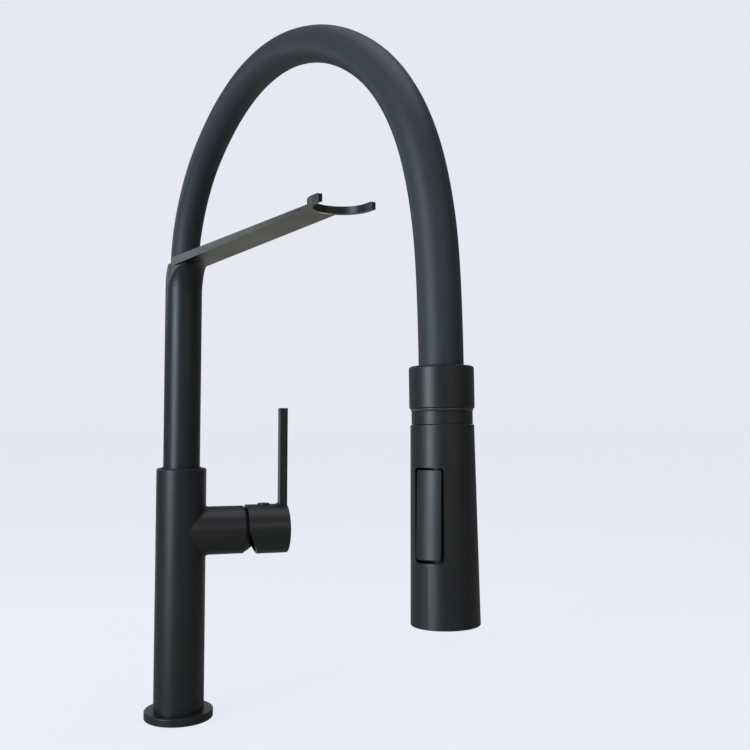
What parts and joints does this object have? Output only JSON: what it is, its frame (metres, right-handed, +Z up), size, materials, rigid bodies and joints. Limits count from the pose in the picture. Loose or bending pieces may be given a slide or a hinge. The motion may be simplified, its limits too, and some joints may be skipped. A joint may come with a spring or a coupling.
{
  "type": "pull down kitchen faucet",
  "caption": "Single lever kitchen faucet: round body, thin swivel riser with a forked holder arm, arched silicone hose and a pull down spray head with a spray mode rocker.",
  "frame": {"origin": "centre of the deck surface under the base flange", "axes": "+Z up out of the deck, +X towards the handle, -Y is the front"},
  "size_m": [0.1309, 0.3614, 0.5359],
  "materials": {
    "matte_black": "matte black powder coat over brass",
    "black_plastic": "matte black moulded plastic",
    "grey_silicone": "smooth matte dark grey silicone",
    "black_rubber": "soft moulded rubber",
    "brass": "bare machined brass",
    "steel": "zinc plated or stainless steel",
    "dark_trim": "satin dark grey trim",
    "ceramic": "lapped white ceramic",
    "grey_acetal": "natural acetal",
    "magnet": "nickel plated magnet"
  },
  "bodies": {
    "base": {"base_flange": "matte_black", "base_gasket": "black_rubber", "faucet_body": "matte_black", "threaded_shank": "brass", "deck_rubber_washer": "black_rubber", "deck_steel_washer": "steel", "mounting_nut": "brass", "clamp_screws": "steel", "cartridge_housing": "grey_acetal", "fixed_ceramic_disc": "ceramic", "cartridge_nut": "brass", "bonnet_dome": "matte_black", "swivel_bush": "black_plastic"},
    "spout": {"spout_tube": "matte_black", "spout_arm": "matte_black", "swivel_o_rings": "black_rubber", "retaining_clip": "steel", "dock_magnet": "magnet", "hose_root_ferrule": "brass", "silicone_hose": "grey_silicone"},
    "hose_end": {"docking_collar": "black_plastic", "dock_steel_ring": "steel", "collar_trim_ring": "dark_trim", "hose_end_fitting": "brass"},
    "spray_head": {"neck_sleeve": "black_plastic", "head_swivel_nut": "black_plastic", "inner_core": "black_plastic", "rocker_pin": "steel", "diverter_spool": "grey_acetal", "grip_shell": "black_plastic", "check_valve": "grey_acetal", "filter_screen": "steel", "spray_divider": "grey_acetal", "spray_face": "black_plastic", "spray_nozzles": "grey_silicone", "aerator": "grey_acetal"},
    "rocker": {"mode_rocker": "black_plastic"},
    "turret": {"cartridge_turret": "grey_acetal", "stem_pin": "steel"},
    "handle": {"control_stem": "brass", "handle_cap": "matte_black", "set_screw": "steel", "index_plug": "black_plastic"},
    "disc": {"moving_ceramic_disc": "ceramic", "disc_carrier": "grey_acetal"}
  },
  "joints": [
    {"name": "spout_swivel", "type": "hinge", "parent": "base", "child": "spout", "pos_m": [0, 0, 0.18], "axis": [0, 0, 1], "continuous": true},
    {"name": "head_pull", "type": "slide", "parent": "spout", "child": "hose_end", "axis": [-0.1754, 0.6324, 0.7545], "range_m": [0, 0.1416], "deforming": ["silicone_hose"]},
    {"name": "head_swivel", "type": "hinge", "parent": "hose_end", "child": "spray_head", "pos_m": [0.08763, -0.31597, 0.2527], "axis": [-0.007, 0.0252, 0.9997], "continuous": true},
    {"name": "rocker_tilt", "type": "hinge", "parent": "spray_head", "child": "rocker", "pos_m": [0.07993, -0.32446, 0.18364], "axis": [0.6359, -0.7714, 0.0239], "range_deg": [0, 6]},
    {"name": "handle_turn", "type": "hinge", "parent": "base", "child": "turret", "pos_m": [0.036, 0, 0.1408], "axis": [1, 0, 0], "range_deg": [-45, 45]},
    {"name": "handle_lift", "type": "hinge", "parent": "turret", "child": "handle", "pos_m": [0.04, 0, 0.1408], "axis": [0, 1, 0], "range_deg": [0, 22]},
    {"name": "disc_slide", "type": "slide", "parent": "turret", "child": "disc", "axis": [0, 0, 1], "range_m": [0, 0.0047]}
  ],
  "couplings": [
    {"joint": "disc_slide", "follows": "handle_lift", "m_per_rad": 0.0118}
  ]
}
